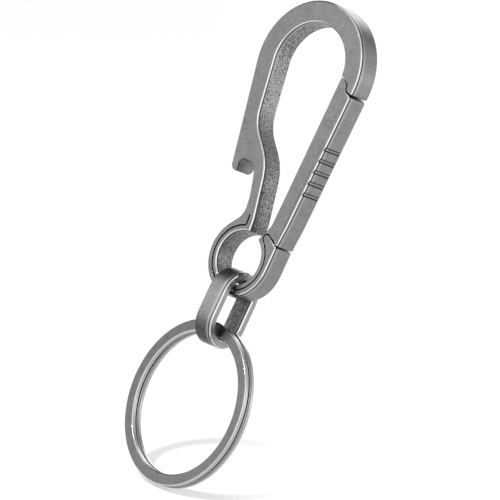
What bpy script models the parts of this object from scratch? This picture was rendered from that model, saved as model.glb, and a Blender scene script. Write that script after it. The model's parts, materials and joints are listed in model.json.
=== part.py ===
"""Key carabiner cut from one flat titanium plate, with a link and a split ring.

The plate stands in the XZ plane and hangs by the inside of its hook, which is the origin.
A thin band round the eye carries the gate and bends as it opens. An oval link hangs in the
eye, and a split ring of flat wire, wound two turns, hangs in the link.
"""

import math

import bmesh
import bpy
from mathutils import Matrix, Vector
from mathutils.kdtree import KDTree

# Plate
PLATE_THICKNESS = 0.0049
EDGE_CHAMFER = 0.00025
KERF = 0.0003
CORNER_RADIUS = 0.00015
OVERRUN = 0.0010

# Hook, whose centre stands above the centre of the eye
HOOK_INNER_RADIUS = 0.0085
HOOK_BAND = 0.0041
HOOK_RISE = 0.0377
FLANK_TANGENT_ANGLE = 187.5

# Eye: spring band, slot and rigid rim, from the hole outwards
EYE_RADIUS = 0.0052
SPRING_BAND = 0.0009
RIM_BAND = 0.00095
SHOULDER_ANGLE = 135.0
RIM_FLANK_ANGLE = -6.0

# Spine: places as shares of the hook's outer or inner radius and of its rise
NECK_SET = 0.0026
NECK_WIDTH = 0.00295
NECK_FOOT_RISE = 0.0024
NECK_HEIGHT = 0.0035
SPINE_FLANK_SHARES = (-0.782, 0.475)
SPINE_ELBOW_SHARES = (-0.860, 0.655)
SPINE_KNEE_SHARES = (-0.170, 0.487)
FLANK_RADIUS = 0.0070
ELBOW_RADIUS = 0.0080
KNEE_RADIUS = 0.0100
NECK_TOP_RADIUS = 0.0120
NECK_FOOT_RADIUS = 0.0020
SHOULDER_RADIUS = 0.0032

# Opener claw on the outer side of the spine
CLAW_TIP_SHARES = (-0.617, 0.396)
CLAW_TOOTH_WIDTH = 0.0017
CLAW_TIP_SLOPE = 0.0003
CLAW_TIP_RADIUS = 0.0003
CLAW_TOOTH_RADIUS = 0.0013
CLAW_END_RADIUS = 0.0019
CLAW_MOUTH_WIDTH = 0.0036
CLAW_MOUTH_DEPTH = 0.0029
CLAW_UNDERCUT = 0.0004
CLAW_ROOF_FALL = 0.0004
CLAW_MOUTH_RADIUS = 0.0013
CLAW_HEEL_SET = 0.0012
CLAW_HEEL_SHARE = 0.420
CLAW_HEEL_RADIUS = 0.0025

# Root of the spring band in the neck
ROOT_WIDTH = 0.00115
ROOT_RISE = 0.0003
ROOT_CORNER_RADIUS = 0.0005
SLOT_CORNER_RADIUS = 0.0005
SLOT_CORNER_TURN = 10.0

# Rim's finger tip, the cut that runs from it to the outer side, and the band's end and the
# gate's lip, which lie before and after the tip
FINGER_ANGLE = 46.0
FINGER_TIP_RADIUS = 0.00063
CUT_ANGLE = -33.0
BAND_END_TURN = 4.0
GATE_LIP_TURN = 10.0

# Gate: places as shares of the rim's outer radius
GATE_KNEE_SHARES = (1.19, 1.185)
GATE_FOOT_WIDTH = 0.00375
GATE_HEEL_SHARE = 1.016
GATE_HEEL_RADIUS = 0.0025
GATE_LIP_RADIUS = 0.0003

# Cut between the gate's head and the hook's nose
NOSE_START_RISE = 0.0003
NOSE_LIP = 0.00075
NOSE_STEP = 0.0013
NOSE_DROP = 0.0029
NOSE_STEP_SHARES = (0.50, 0.54)
NOSE_HEAD_RADIUS = 0.0008
NOSE_THROAT_RADIUS = 0.0008
NOSE_CORNER_RADIUS = 0.0006

# Grip grooves across the gate's outer side
GRIP_COUNT = 5
GRIP_PITCH = 0.0023
GRIP_WIDTH = 0.00083
GRIP_DEPTH = 0.00014
GRIP_START = 0.0060

# Link, which is tilted towards the front, and leans with the ring away from the gate
LINK_LENGTH = 0.0150
LINK_WIDTH = 0.0100
LINK_BAND_WIDTH = 0.0041
LINK_BAND_THICKNESS = 0.00163
LINK_CHAMFER = 0.00025
LINK_SEAT_GAP = 0.0003
LINK_TILT = -5.5
CHAIN_LEAN = 1.6

# Split ring
RING_OUTER_DIAMETER = 0.0320
RING_WIRE_WIDTH = 0.0022
RING_WIRE_THICKNESS = 0.00095
RING_TURN_GAP = 0.00045
RING_WIRE_CHAMFER = 0.00018
RING_TURNS = 2
RING_YAW = -7.7
RING_STEP_ANGLE = 24.0
RING_END_ANGLE = 4.0
RING_SEAT_GAP = 0.00025
RING_POINTS_PER_TURN = 72

# Shades and roughness of the titanium
PLATE_GREY = (0.40, 0.40, 0.41)
LINK_GREY = (0.45, 0.45, 0.46)
RING_GREY = (0.36, 0.36, 0.37)
PLATE_ROUGHNESS = 0.42
SPRING_ROUGHNESS = 0.38
LINK_ROUGHNESS = 0.38
RING_ROUGHNESS = 0.36

# Fineness of round stretches, in degrees, and what counts as one point or one plane
ARC_STEP = 6.0
CORNER_STEP = 12.0
STRAIGHT_ANGLE = 0.01
SHARP_ANGLE = 30.0
WELD_DISTANCE = 0.000001
CAP_NORMAL = 0.9

# Worked out
HOOK_OUTER_RADIUS = HOOK_INNER_RADIUS + HOOK_BAND
SPRING_OUTER_RADIUS = EYE_RADIUS + SPRING_BAND
RIM_INNER_RADIUS = SPRING_OUTER_RADIUS + KERF
RIM_OUTER_RADIUS = RIM_INNER_RADIUS + RIM_BAND
EYE_DROP = HOOK_RISE + HOOK_INNER_RADIUS
NECK_FOOT = EYE_RADIUS + NECK_FOOT_RISE
SLOT_TOP = NECK_FOOT + ROOT_RISE
SLOT_SIDE = NECK_SET - NECK_WIDTH + ROOT_WIDTH + KERF
SLOT_START = 90 + math.degrees(math.asin(SLOT_SIDE / RIM_INNER_RADIUS)) + SLOT_CORNER_TURN
BAND_END_ANGLE = FINGER_ANGLE - BAND_END_TURN
GATE_LIP_ANGLE = FINGER_ANGLE + GATE_LIP_TURN
LINK_INNER_RADIUS = LINK_WIDTH / 2 - LINK_BAND_THICKNESS
RING_THICKNESS = RING_TURNS * RING_WIRE_THICKNESS + (RING_TURNS - 1) * RING_TURN_GAP
RING_INNER_RADIUS = RING_OUTER_DIAMETER / 2 - RING_WIRE_WIDTH


def direction(degrees):
    """Unit vector at an angle from +X towards +Z."""
    return Vector((math.cos(math.radians(degrees)), math.sin(math.radians(degrees))))


def polar(radius, degrees, centre=Vector((0, 0))):
    """Point at a radius and an angle round a centre."""
    return centre + radius * direction(degrees)


def meet(point_a, along_a, point_b, along_b):
    """Point where two lines cross."""
    turn = along_a.x * along_b.y - along_a.y * along_b.x
    gap = point_b - point_a
    return point_a + along_a * ((gap.x * along_b.y - gap.y * along_b.x) / turn)


def drop_inside(radius, half_width):
    """How far a circle falls away from its top at a half width."""
    return radius - math.sqrt(radius**2 - half_width**2)


def seat_drop(radius, half_width, chamfer):
    """How far a round seat falls away from its top at a band's chamfered edges."""
    return max(drop_inside(radius, half_width - chamfer), drop_inside(radius, half_width) - chamfer)


def turned(place, degrees, axis):
    """Turn by an angle about an axis through a place."""
    there = Matrix.Translation(place)
    return there @ Matrix.Rotation(math.radians(degrees), 4, axis) @ there.inverted()


def arc(centre, radius, start, end):
    """Corners along an arc between two angles, with no rounding of their own."""
    steps = max(1, math.ceil(abs(end - start) / ARC_STEP))
    return [(polar(radius, start + (end - start) * i / steps, centre), 0) for i in range(steps + 1)]


def rounded(runs):
    """Closed outline from runs of corners: each point with whether its run has chamfered edges."""
    corners = [(point, radius, chamfered) for chamfered, run in runs for point, radius in run]
    points = []
    for i, (corner, radius, chamfered) in enumerate(corners):
        before = corners[i - 1][0] - corner
        after = corners[(i + 1) % len(corners)][0] - corner
        turn = math.pi - before.angle(after)
        if radius == 0 or turn < STRAIGHT_ANGLE:
            points.append((corner, chamfered))
            continue
        reach = min(radius * math.tan(turn / 2), before.length / 2, after.length / 2)
        first = corner + before.normalized() * reach
        last = corner + after.normalized() * reach
        inwards = (before.normalized() + after.normalized()).normalized()
        centre = corner + inwards * math.hypot(reach, reach / math.tan(turn / 2))
        steps = max(2, math.ceil(math.degrees(turn) / CORNER_STEP))
        sweep = (first - centre).angle_signed(last - centre)
        for step in range(steps + 1):
            spoke = Matrix.Rotation(-sweep * step / steps, 2) @ (first - centre)
            points.append((centre + spoke, chamfered))
    return [mark for i, mark in enumerate(points) if (mark[0] - points[i - 1][0]).length > WELD_DISTANCE]


def beside(path, gap):
    """A path of corners moved to the left of its run by a gap, or to the right by a negative one."""
    moved = []
    for i, (corner, radius) in enumerate(path):
        run_in = (corner - path[i - 1][0] if i else path[1][0] - corner).normalized()
        run_out = (path[i + 1][0] - corner if i + 1 < len(path) else run_in).normalized()
        left_in = Vector((-run_in.y, run_in.x))
        left_out = Vector((-run_out.y, run_out.x))
        mitre = (left_in + left_out) / (1 + left_in.dot(left_out))
        bend = run_in.x * run_out.y - run_in.y * run_out.x
        moved.append((corner + mitre * gap, max(0, radius - math.copysign(gap, gap * bend))))
    return moved


def collection(name):
    """New collection in the scene."""
    made = bpy.data.collections.new(name)
    bpy.context.scene.collection.children.link(made)
    return made


def metal(name, grey, roughness):
    """Satin titanium of one shade."""
    material = bpy.data.materials.new(name)
    material.use_nodes = True
    surface = material.node_tree.nodes["Principled BSDF"]
    surface.inputs["Base Color"].default_value = (*grey, 1)
    surface.inputs["Metallic"].default_value = 1
    surface.inputs["Roughness"].default_value = roughness
    material.diffuse_color = (*grey, 1)
    return material


def mesh_from_curve(blank, target):
    """Mesh object in place of a curve object, with its caps welded to its sides."""
    bpy.context.scene.collection.objects.link(blank)
    bpy.context.view_layer.update()
    name = blank.name
    mesh = bpy.data.meshes.new_from_object(blank.evaluated_get(bpy.context.evaluated_depsgraph_get()))
    place = blank.matrix_world.copy()
    bpy.data.objects.remove(blank)
    piece = bpy.data.objects.new(name, mesh)
    piece.matrix_world = place
    target.objects.link(piece)
    shape = bmesh.new()
    shape.from_mesh(piece.data)
    bmesh.ops.remove_doubles(shape, verts=shape.verts, dist=WELD_DISTANCE)
    bmesh.ops.recalc_face_normals(shape, faces=shape.faces)
    shape.to_mesh(piece.data)
    shape.free()
    return piece


def prism(name, outlines, thickness, turn, target):
    """Solid between two copies of flat outlines, standing at the centre of the eye."""
    curve = bpy.data.curves.new(name, "CURVE")
    curve.dimensions = "2D"
    curve.fill_mode = "BOTH"
    curve.extrude = thickness / 2
    for outline in outlines:
        spline = curve.splines.new("POLY")
        spline.points.add(len(outline) - 1)
        for control, (point, _) in zip(spline.points, outline):
            control.co = (point.x, point.y, 0, 1)
        spline.use_cyclic_u = True
    blank = bpy.data.objects.new(name, curve)
    blank.location = eye_axis.location
    blank.rotation_euler = turn
    return mesh_from_curve(blank, target)


def chamfer_edges(piece, outlines, width):
    """Chamfer the edges of a prism's two faces along the runs that ask for it."""
    corners = [corner for outline in outlines for corner in outline]
    finder = KDTree(len(corners))
    for i, (point, _) in enumerate(corners):
        finder.insert((point.x, point.y, 0), i)
    finder.balance()
    shape = bmesh.new()
    shape.from_mesh(piece.data)
    caps = [face for face in shape.faces if abs(face.normal.z) > CAP_NORMAL]
    inner = [edge for edge in shape.edges if all(face in caps for face in edge.link_faces)]
    bmesh.ops.dissolve_edges(shape, edges=inner, use_verts=False)
    weight = shape.edges.layers.float.new("bevel_weight_edge")
    for edge in shape.edges:
        on_cap = any(abs(face.normal.z) > CAP_NORMAL for face in edge.link_faces)
        ends = [corners[finder.find((v.co.x, v.co.y, 0))[1]] for v in edge.verts]
        edge[weight] = 1 if on_cap and all(chamfered for _, chamfered in ends) else 0
    shape.to_mesh(piece.data)
    shape.free()
    bevel = piece.modifiers.new("Chamfer", "BEVEL")
    bevel.limit_method = "WEIGHT"
    bevel.width = width
    bevel.segments = 1
    bevel.use_clamp_overlap = False


def cut_away(piece, cutter):
    """Take a cutter's shape out of a piece."""
    cutter.hide_render = True
    cutter.display_type = "WIRE"
    cut = piece.modifiers.new("Cut", "BOOLEAN")
    cut.operation = "DIFFERENCE"
    cut.solver = "EXACT"
    cut.object = cutter


def finish(piece, material):
    """Give a piece its material and smooth round sides."""
    piece.data.materials.append(material)
    piece.data.shade_smooth()
    piece.data.set_sharp_from_angle(angle=math.radians(SHARP_ANGLE))


def hook_share(shares, radius):
    """Place given as shares of a hook radius across and of the hook's rise up."""
    return Vector((shares[0] * radius, shares[1] * HOOK_RISE))


def level(height, corner, towards):
    """Point at a height on the line through two corners."""
    return meet(Vector((0, height)), Vector((1, 0)), corner, towards - corner)


def nose_cut():
    """Middle of the stepped cut between gate and nose, from the hook's inside outwards."""
    step_in, step_out = (HOOK_INNER_RADIUS + share * HOOK_BAND for share in NOSE_STEP_SHARES)
    top = HOOK_RISE - NOSE_LIP
    outlet_angle = -math.degrees(math.asin(NOSE_DROP / HOOK_OUTER_RADIUS))
    return [
        (hook_centre + Vector((HOOK_INNER_RADIUS, NOSE_START_RISE)), 0),
        (Vector((step_in, top)), NOSE_HEAD_RADIUS),
        (Vector((step_out, top - NOSE_STEP)), NOSE_THROAT_RADIUS),
        (polar(HOOK_OUTER_RADIUS, outlet_angle, hook_centre), 0),
    ]


def finger_top(gap):
    """Point and direction of a line along the finger's upper side, a gap above it."""
    normal = direction(CUT_ANGLE + 90)
    return finger_centre + normal * (FINGER_TIP_RADIUS + gap), direction(CUT_ANGLE)


def frame_outline():
    """Hook, spine, opener claw and the rim of the eye up to its finger tip."""
    cut = nose_cut()
    nose = beside(cut, KERF / 2)
    inner_rise = nose[0][0].y + NOSE_START_RISE - HOOK_RISE
    outer_rise = nose[3][0].y + 2 * NOSE_CORNER_RADIUS - HOOK_RISE
    inner_start = math.degrees(math.asin(inner_rise / HOOK_INNER_RADIUS))
    outer_end = math.degrees(math.asin(outer_rise / HOOK_OUTER_RADIUS))
    hook_inside = arc(hook_centre, HOOK_INNER_RADIUS, inner_start, 180)
    seam = SLOT_TOP + KERF
    spine_inside = [
        (elbow, ELBOW_RADIUS),
        (knee, KNEE_RADIUS),
        (level(seam, neck_foot, knee), 0),
    ]
    slot_height = math.sqrt(RIM_INNER_RADIUS**2 - SLOT_SIDE**2)
    rim_end, cut_run = finger_top(0)
    slot = [
        (Vector((-SLOT_SIDE, seam)), 0),
        (Vector((-SLOT_SIDE, slot_height)), SLOT_CORNER_RADIUS),
        *arc(eye_centre, RIM_INNER_RADIUS, SLOT_START, 360 + FINGER_ANGLE),
        *arc(finger_centre, FINGER_TIP_RADIUS, FINGER_ANGLE + 180, CUT_ANGLE + 90)[1:],
    ]
    finger_corner = meet(rim_end, cut_run, flank_start, flank_run)
    rim = [
        (finger_corner, CORNER_RADIUS),
        *arc(eye_centre, RIM_OUTER_RADIUS, RIM_FLANK_ANGLE, SHOULDER_ANGLE - 360),
    ]
    shoulder = polar(RIM_OUTER_RADIUS, SHOULDER_ANGLE)
    neck_outside = Vector((-NECK_SET, NECK_FOOT + NECK_HEIGHT))
    neck = [
        (meet(shoulder, direction(SHOULDER_ANGLE - 90), neck_outside, Vector((0, 1))), SHOULDER_RADIUS),
        (neck_outside, NECK_TOP_RADIUS),
        (Vector((-NECK_SET - CLAW_HEEL_SET, CLAW_HEEL_SHARE * HOOK_RISE)), CLAW_HEEL_RADIUS),
    ]
    mouth = [
        (claw_tip + Vector((CLAW_MOUTH_WIDTH, CLAW_MOUTH_DEPTH - CLAW_ROOF_FALL)), CLAW_MOUTH_RADIUS),
        (claw_tip + Vector((-CLAW_UNDERCUT, CLAW_MOUTH_DEPTH)), CLAW_MOUTH_RADIUS),
        (claw_tip, CLAW_TIP_RADIUS),
    ]
    spine_outside = [
        (claw_tip + Vector((-CLAW_TOOTH_WIDTH, CLAW_TIP_SLOPE)), CLAW_TOOTH_RADIUS),
        (hook_share(SPINE_FLANK_SHARES, HOOK_OUTER_RADIUS), FLANK_RADIUS),
    ]
    hook_outside = arc(hook_centre, HOOK_OUTER_RADIUS, FLANK_TANGENT_ANGLE, outer_end)
    nose_corners = [(nose[3][0], NOSE_CORNER_RADIUS), nose[2], nose[1], (nose[0][0], 0)]
    return rounded([
        (True, hook_inside + spine_inside),
        (False, slot),
        (True, rim + neck),
        (False, mouth),
        (True, spine_outside + hook_outside + nose_corners[:1]),
        (False, nose_corners[1:]),
    ])


def spring_outline():
    """Thin band from its root in the neck, round the eye to the foot of the gate."""
    root_side = -NECK_SET + NECK_WIDTH
    slot_side = KERF - SLOT_SIDE
    root_corner = Vector((root_side, math.sqrt(EYE_RADIUS**2 - root_side**2)))
    root_angle = math.degrees(math.asin(root_side / EYE_RADIUS))
    hole = arc(eye_centre, EYE_RADIUS, 90 - root_angle + ARC_STEP, 360 + BAND_END_ANGLE)
    slot = [
        *arc(eye_centre, SPRING_OUTER_RADIUS, 360 + BAND_END_ANGLE, SLOT_START),
        (Vector((slot_side, math.sqrt(SPRING_OUTER_RADIUS**2 - slot_side**2))), SLOT_CORNER_RADIUS + KERF),
        (Vector((slot_side, SLOT_TOP)), 0),
    ]
    root = [
        (level(SLOT_TOP, neck_foot, knee), 0),
        (neck_foot, NECK_FOOT_RADIUS),
        (root_corner, ROOT_CORNER_RADIUS),
    ]
    return rounded([(True, root + hole), (False, slot)])


def gate_outline():
    """Gate arm with its foot on the spring band, its grip and its keyed head."""
    cut = nose_cut()
    head = beside(cut, -KERF / 2)
    foot_run = knee_point - finger_corner_point()
    cut_point, cut_run = finger_top(KERF)
    foot_corner = meet(cut_point, cut_run, finger_corner_point(), foot_run)
    arm = gate_head() - knee_point
    inner_foot = knee_point - Vector((GATE_FOOT_WIDTH, 0))
    inner_head = hook_centre + Vector((HOOK_INNER_RADIUS, 0))
    head_in = meet(head[0][0], head[1][0] - head[0][0], inner_head, inner_head - inner_foot)
    head_out = meet(head[2][0], head[3][0] - head[2][0], knee_point, arm)
    gap_angle = math.degrees(KERF / (EYE_RADIUS + SPRING_BAND / 2))
    start = BAND_END_ANGLE + gap_angle
    foot_cut = [
        *arc(eye_centre, SPRING_OUTER_RADIUS, start, FINGER_ANGLE),
        *arc(finger_centre, FINGER_TIP_RADIUS + KERF, FINGER_ANGLE + 180, CUT_ANGLE + 90)[1:],
    ]
    outside = [(foot_corner, CORNER_RADIUS), (knee_point, FLANK_RADIUS), (head_out, NOSE_CORNER_RADIUS)]
    keyed = [head[2], head[1], (head_in, 0)]
    inside = [
        (head_in, 0),
        (level(GATE_HEEL_SHARE * RIM_OUTER_RADIUS, inner_foot, inner_head), GATE_HEEL_RADIUS),
        (polar(EYE_RADIUS, GATE_LIP_ANGLE), GATE_LIP_RADIUS),
        (polar(EYE_RADIUS, start), 0),
    ]
    return rounded([(False, foot_cut), (True, outside), (False, keyed[:-1]), (True, inside)])


def tooth_end_outline():
    """Section, from the plate's middle to behind it, of what is cut off the end of the tooth."""
    back = PLATE_THICKNESS / 2
    below = claw_tip.y - OVERRUN
    corner = Vector((back - CLAW_END_RADIUS, claw_tip.y + CLAW_END_RADIUS))
    round_end = arc(corner, CLAW_END_RADIUS, 270, 360)
    outside = [(Vector((back + OVERRUN, corner.y)), 0), (Vector((back + OVERRUN, below)), 0)]
    return rounded([(False, round_end + outside + [(Vector((corner.x, below)), 0)])])


def grip_outlines():
    """Sections of the grip's grooves along the gate's outer side, open outwards."""
    along = (gate_head() - knee_point).normalized()
    inwards = Vector((-along.y, along.x))
    slope = inwards * GRIP_DEPTH + along * GRIP_DEPTH
    grooves = []
    for i in range(GRIP_COUNT):
        lower = knee_point + along * (GRIP_START + i * GRIP_PITCH)
        upper = lower + along * GRIP_WIDTH
        sides = [lower - slope, lower + slope, upper + slope.reflect(along), upper - slope.reflect(along)]
        grooves.append([(side, False) for side in sides])
    return grooves


def gate_head():
    """Outlet of the nose cut on the hook's outer side."""
    return nose_cut()[-1][0]


def finger_corner_point():
    """Outer end of the finger's upper side."""
    point, run = finger_top(0)
    return meet(point, run, flank_start, flank_run)


def link_outlines():
    """Outer and inner outline of the oval link, and the centres of its bends, from the eye's."""
    seat = EYE_RADIUS - seat_drop(EYE_RADIUS, LINK_BAND_WIDTH / 2, LINK_CHAMFER) - LINK_SEAT_GAP
    seat -= seat_drop(LINK_INNER_RADIUS, PLATE_THICKNESS / 2, EDGE_CHAMFER)
    top = -seat + LINK_BAND_THICKNESS
    outer = LINK_WIDTH / 2
    upper = Vector((0, top - outer))
    lower = Vector((0, top - LINK_LENGTH + outer))
    loops = []
    for radius in (outer, LINK_INNER_RADIUS):
        corners = arc(upper, radius, 0, 180) + arc(lower, radius, 180, 360)
        loops.append(rounded([(True, corners)]))
    return loops, upper, lower


def ring_path(drop):
    """Points of the ring's wire: a front turn, a step across and a back turn."""
    half_step = RING_STEP_ANGLE / 2
    first = half_step + RING_END_ANGLE
    last = 360 * RING_TURNS - first
    count = RING_TURNS * RING_POINTS_PER_TURN
    pitch = RING_WIRE_THICKNESS + RING_TURN_GAP
    middle = RING_OUTER_DIAMETER / 2 - RING_WIRE_WIDTH / 2
    points = []
    for i in range(count + 1):
        angle = first + (last - first) * i / count
        share = min(1, max(0, (angle - 360 + half_step) / RING_STEP_ANGLE))
        rise = pitch * (0.5 - share * share * (3 - 2 * share))
        flat = polar(middle, 90 + angle)
        points.append(Vector((flat.x, flat.y - drop, rise)))
    return points


def ring_piece(place, drop):
    """Split ring swept from a flat wire with broken edges."""
    half_width = RING_WIRE_WIDTH / 2
    half_thickness = RING_WIRE_THICKNESS / 2
    section = bpy.data.curves.new("wire_section", "CURVE")
    section.dimensions = "2D"
    section.fill_mode = "NONE"
    corners = []
    for x, y in ((1, 1), (-1, 1), (-1, -1), (1, -1)):
        tall = (x * half_width, y * (half_thickness - RING_WIRE_CHAMFER))
        flat = (x * (half_width - RING_WIRE_CHAMFER), y * half_thickness)
        corners += [tall, flat] if x == y else [flat, tall]
    outline = section.splines.new("POLY")
    outline.points.add(len(corners) - 1)
    for control, corner in zip(outline.points, corners):
        control.co = (*corner, 0, 1)
    outline.use_cyclic_u = True
    guide = bpy.data.objects.new("wire_section", section)
    guide.hide_render = True
    guide.display_type = "WIRE"
    cutters.objects.link(guide)

    points = ring_path(drop)
    wire = bpy.data.curves.new("key_ring", "CURVE")
    wire.dimensions = "3D"
    wire.twist_mode = "Z_UP"
    wire.bevel_mode = "OBJECT"
    wire.bevel_object = guide
    wire.use_fill_caps = True
    spline = wire.splines.new("POLY")
    spline.points.add(len(points) - 1)
    for control, point in zip(spline.points, points):
        control.co = (*point, 1)
    blank = bpy.data.objects.new("key_ring", wire)
    blank.location = place
    blank.rotation_euler = (math.radians(90), 0, math.radians(RING_YAW))
    piece = mesh_from_curve(blank, parts)

    apart = RING_POINTS_PER_TURN // 2
    reach = min((near - far).length for i, near in enumerate(points) for far in points[i + apart:])
    print(f"least gap between the ring's turns: {reach - RING_WIRE_THICKNESS:.5f} m")
    return piece


for old in list(bpy.data.objects):
    bpy.data.objects.remove(old)

parts = collection("carabiner")
cutters = collection("cutters")
satin = metal("satin_titanium", PLATE_GREY, PLATE_ROUGHNESS)
spring_satin = metal("satin_titanium_spring", PLATE_GREY, SPRING_ROUGHNESS)
link_satin = metal("satin_titanium_link", LINK_GREY, LINK_ROUGHNESS)
ring_satin = metal("satin_titanium_ring", RING_GREY, RING_ROUGHNESS)

eye_centre = Vector((0, 0))
hook_centre = Vector((0, HOOK_RISE))
finger_centre = polar(RIM_INNER_RADIUS + FINGER_TIP_RADIUS, FINGER_ANGLE)
flank_start = polar(RIM_OUTER_RADIUS, RIM_FLANK_ANGLE)
flank_run = direction(RIM_FLANK_ANGLE + 90)
elbow = hook_share(SPINE_ELBOW_SHARES, HOOK_INNER_RADIUS)
knee = hook_share(SPINE_KNEE_SHARES, HOOK_INNER_RADIUS)
neck_foot = Vector((-NECK_SET + NECK_WIDTH, NECK_FOOT))
claw_tip = hook_share(CLAW_TIP_SHARES, HOOK_OUTER_RADIUS)
knee_point = Vector(GATE_KNEE_SHARES) * RIM_OUTER_RADIUS

eye_axis = bpy.data.objects.new("eye_axis", None)
eye_axis.location = (0, 0, -EYE_DROP)
parts.objects.link(eye_axis)
plate_turn = (math.radians(90), 0, 0)
band_turn = (math.radians(90), 0, math.radians(90))
for name, outline, material in (
    ("frame", frame_outline(), satin),
    ("flexure_spring", spring_outline(), spring_satin),
    ("gate", gate_outline(), satin),
):
    piece = prism(name, [outline], PLATE_THICKNESS, plate_turn, parts)
    chamfer_edges(piece, [outline], EDGE_CHAMFER)
    finish(piece, material)
    if name == "frame":
        tooth_span = CLAW_TOOTH_WIDTH + 2 * OVERRUN
        tooth_cutter = prism("tooth_cutter", [tooth_end_outline()], tooth_span, band_turn, cutters)
        tooth_cutter.location.x = claw_tip.x - CLAW_TOOTH_WIDTH / 2
        cut_away(piece, tooth_cutter)
    if name == "gate":
        cut_away(piece, prism("grip_cutter", grip_outlines(), PLATE_THICKNESS + OVERRUN, plate_turn, cutters))

link_loops, upper_bend, lower_bend = link_outlines()
link = prism("link", link_loops, LINK_BAND_WIDTH, band_turn, parts)
chamfer_edges(link, link_loops, LINK_CHAMFER)
finish(link, link_satin)
swing = turned(eye_axis.location, CHAIN_LEAN, "Y")
tilt = turned(eye_axis.location + Vector((0, 0, upper_bend.y)), LINK_TILT, "X")
link.matrix_world = swing @ tilt @ link.matrix_world

ring_place = tilt @ (eye_axis.location + Vector((0, 0, lower_bend.y)))
ring_reach = (RING_THICKNESS + LINK_BAND_WIDTH * math.tan(math.radians(abs(RING_YAW)))) / 2
ring_drop = LINK_INNER_RADIUS - seat_drop(LINK_INNER_RADIUS, ring_reach, RING_WIRE_CHAMFER) - RING_SEAT_GAP
ring_drop += RING_INNER_RADIUS - seat_drop(RING_INNER_RADIUS, LINK_BAND_WIDTH / 2, LINK_CHAMFER)
key_ring = ring_piece(ring_place, ring_drop)
finish(key_ring, ring_satin)
key_ring.matrix_world = swing @ key_ring.matrix_world
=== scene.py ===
"""Looks of the key carabiner: satin titanium, rolled edges and a plain studio.

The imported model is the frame. Each solid is copied, closed at the seams where the real plate is
one piece, given the rolled edges that catch the light, and finished in its own titanium.
"""

import json
import math
from collections import namedtuple

import bmesh
import bpy
from bpy.props import FloatProperty, FloatVectorProperty, IntProperty, PointerProperty
from mathutils import Matrix, Vector


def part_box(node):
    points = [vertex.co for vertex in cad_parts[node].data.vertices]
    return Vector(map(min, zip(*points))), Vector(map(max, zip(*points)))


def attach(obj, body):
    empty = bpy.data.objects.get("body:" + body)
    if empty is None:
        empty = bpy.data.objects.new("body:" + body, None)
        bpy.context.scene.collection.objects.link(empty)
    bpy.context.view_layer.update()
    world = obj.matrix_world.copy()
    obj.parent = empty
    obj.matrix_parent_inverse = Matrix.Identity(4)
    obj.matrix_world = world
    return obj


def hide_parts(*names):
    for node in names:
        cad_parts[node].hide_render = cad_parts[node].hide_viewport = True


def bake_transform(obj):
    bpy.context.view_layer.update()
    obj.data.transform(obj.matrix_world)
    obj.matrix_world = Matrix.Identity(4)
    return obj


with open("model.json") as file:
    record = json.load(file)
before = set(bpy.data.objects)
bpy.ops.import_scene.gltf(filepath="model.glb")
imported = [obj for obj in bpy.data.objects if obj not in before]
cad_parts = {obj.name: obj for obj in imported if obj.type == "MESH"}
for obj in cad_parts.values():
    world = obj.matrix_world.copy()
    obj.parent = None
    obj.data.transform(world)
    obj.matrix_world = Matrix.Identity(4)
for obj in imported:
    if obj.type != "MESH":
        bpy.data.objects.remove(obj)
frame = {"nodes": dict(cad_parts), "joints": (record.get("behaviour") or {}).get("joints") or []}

bl_info = {
    "name": "Key Carabiner Looks",
    "version": (1, 0, 0),
    "blender": (4, 5, 0),
    "location": "View3D > Sidebar > Carabiner",
    "description": "Dresses a flat titanium key carabiner, its link and its split ring",
    "category": "Object",
}

MM = 0.001

# What the frame gives: the eye that the gate turns round, and each piece's own directions
JOINTS = {joint["name"]: joint for joint in frame["joints"]}
EYE = Vector(JOINTS["gate_hinge"]["pos_m"])
FOLD = Vector(JOINTS["ring_fold"]["axis"])
PLATE_AXIS = Vector((0, 1, 0))
UPWARDS = FOLD.cross(PLATE_AXIS).normalized()
LINK_AXIS = PLATE_AXIS.cross(UPWARDS)
RING_AXIS = UPWARDS.cross(FOLD)
SPRING_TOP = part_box("flexure_spring")[1].z
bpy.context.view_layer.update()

# How far a face's normal leans to its piece's axis: over FLAT it is a flat, under WALL a wall, and
# between the two of CHAMFER a whole chamfer, without the rolls beside it
FLAT = 0.93
WALL = 0.2
CHAMFER = (0.62, 0.90)

# What each face keeps for its titanium, including where the bright chamfer of wear and painted highlight
# and the painted shade of mouth and grooves go
FACE_MARKS = ("wear_and_highlight", "edge", "wall", "inner", "hollow_shade")

# Corners of the box round the opener claw's mouth, what tells the tooth's own wall there, and how
# dark the painted shade makes that wall and the others
MOUTH = (Vector((-9.6 * MM, 0, -33.3 * MM)), Vector((-3.9 * MM, 0, -28 * MM)))
TOOTH_LEAN = 0.3
TOOTH_DARK = 0.8
MOUTH_DARK = 1.2

# Heights of the grip on the gate, how far out it lies, what tells the faces of its grooves, and how
# dark the painted shade in them is
GRIP = (-31.8 * MM, -21.3 * MM)
GRIP_INNER = 9 * MM
GROOVE_SIDE = 0.97
GROOVE_FLOOR = 3 * MM ** 2
GROOVE_DARK = {"roof": 2.5, "ledge": 1.5, "upper corner": 1.8}

# Reach of the spring band from the eye, and the middle of the room between spine and gate
RIM_REACH = 6.3 * MM
ROOM_MIDDLE = 3 * MM

# How sandy an inner wall is in the room, round the eye, and on a round piece
ROOM_SAND = 1
EYE_SAND = 0.8
ROUND_SAND = 0.5

# Half the height and half the width of the box in which the seam at the band's root lies, and how far
# the seam at the gate's foot reaches from the eye, in radii of the band
ROOT_HALF_HEIGHT = 0.25 * MM
ROOT_HALF_WIDTH = 2 * MM
FOOT_REACH = 1.1


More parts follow.
